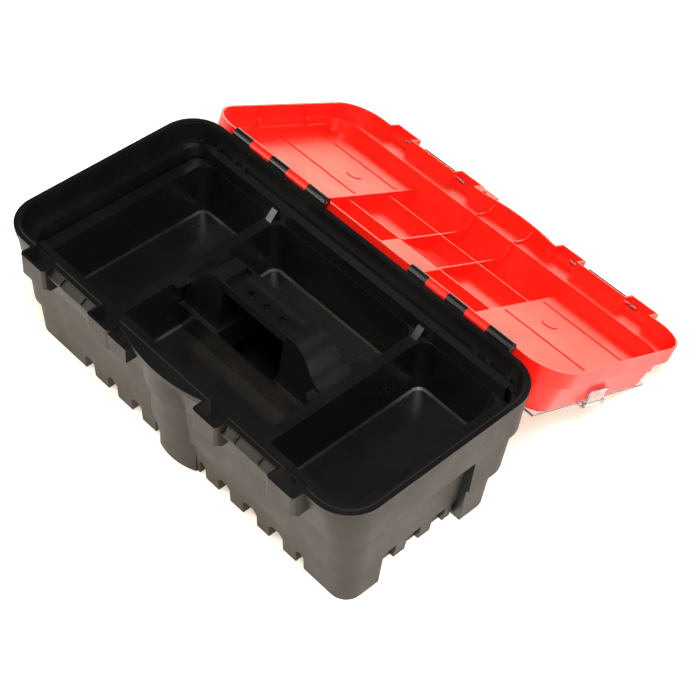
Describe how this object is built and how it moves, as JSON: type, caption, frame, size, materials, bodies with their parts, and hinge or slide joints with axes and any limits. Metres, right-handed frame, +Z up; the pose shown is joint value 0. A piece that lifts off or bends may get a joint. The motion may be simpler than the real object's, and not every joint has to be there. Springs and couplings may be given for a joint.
{
  "type": "toolbox with tray",
  "caption": "Moulded toolbox, lid opened past flat, with lift-out divided tray, twin latches, folding carry handle and clear-covered organizer bins in the lid.",
  "frame": {"origin": "on the surface the body stands on, midway along the box, under the middle of the rim", "axes": "+X along the box to the right seen from the latch side, +Y from the latch side to the hinge side, +Z up"},
  "size_m": [0.5, 0.5328, 0.1597],
  "materials": {
    "body_black": "fine spark-eroded texture, polypropylene",
    "tray_black": "smooth satin polypropylene",
    "lid_red": "semi-gloss polypropylene",
    "latch_black": "satin",
    "handle_black": "satin, ribbed grip",
    "cover_clear": "clear, polished",
    "clip_clear": "clear, polished",
    "pin_steel": "drawn wire"
  },
  "bodies": {
    "body": {"body_shell": "body_black", "hinge_pin_left": "pin_steel", "hinge_pin_right": "pin_steel"},
    "lid": {"lid_shell": "lid_red", "latch_pin_left": "pin_steel", "latch_pin_right": "pin_steel", "handle_pin_left": "latch_black", "handle_pin_right": "latch_black", "cover_pin_left": "pin_steel", "cover_pin_right": "pin_steel"},
    "tray": {"tray": "tray_black"},
    "latch_left": {"latch_left": "latch_black"},
    "latch_right": {"latch_right": "latch_black"},
    "carry_handle": {"carry_handle": "handle_black"},
    "organizer_cover_left": {"organizer_cover_left": "cover_clear", "clip_pin_left": "pin_steel"},
    "organizer_cover_right": {"organizer_cover_right": "cover_clear", "clip_pin_right": "pin_steel"},
    "cover_clip_left": {"cover_clip_left": "clip_clear"},
    "cover_clip_right": {"cover_clip_right": "clip_clear"}
  },
  "joints": [
    {"name": "lid_hinge", "type": "hinge", "parent": "body", "child": "lid", "pos_m": [0, 0.134, 0.1545], "axis": [-1, 0, 0], "range_deg": [-207, 0]},
    {"name": "tray_lift", "type": "slide", "parent": "body", "child": "tray", "axis": [0, 0, 1], "range_m": [0, 0.08]},
    {"name": "latch_left_hinge", "type": "hinge", "parent": "lid", "child": "latch_left", "pos_m": [-0.127, 0.37383, 0.02276], "axis": [-1, 0, 0], "range_deg": [-120, 0]},
    {"name": "latch_right_hinge", "type": "hinge", "parent": "lid", "child": "latch_right", "pos_m": [0.127, 0.37383, 0.02276], "axis": [-1, 0, 0], "range_deg": [-120, 0]},
    {"name": "carry_handle_hinge", "type": "hinge", "parent": "lid", "child": "carry_handle", "pos_m": [0, 0.20947, 0.05151], "axis": [1, 0, 0], "range_deg": [-27, 63]},
    {"name": "cover_left_hinge", "type": "hinge", "parent": "lid", "child": "organizer_cover_left", "pos_m": [-0.103, 0.21609, 0.05128], "axis": [0, 0.891, -0.454], "range_deg": [-15, 0]},
    {"name": "cover_right_hinge", "type": "hinge", "parent": "lid", "child": "organizer_cover_right", "pos_m": [0.103, 0.21609, 0.05128], "axis": [0, -0.891, 0.454], "range_deg": [-15, 0]},
    {"name": "clip_left_hinge", "type": "hinge", "parent": "organizer_cover_left", "child": "cover_clip_left", "pos_m": [-0.2443, 0.21709, 0.05324], "axis": [0, 0.891, -0.454], "range_deg": [-60, 0]},
    {"name": "clip_right_hinge", "type": "hinge", "parent": "organizer_cover_right", "child": "cover_clip_right", "pos_m": [0.2443, 0.21709, 0.05324], "axis": [0, -0.891, 0.454], "range_deg": [-60, 0]}
  ]
}
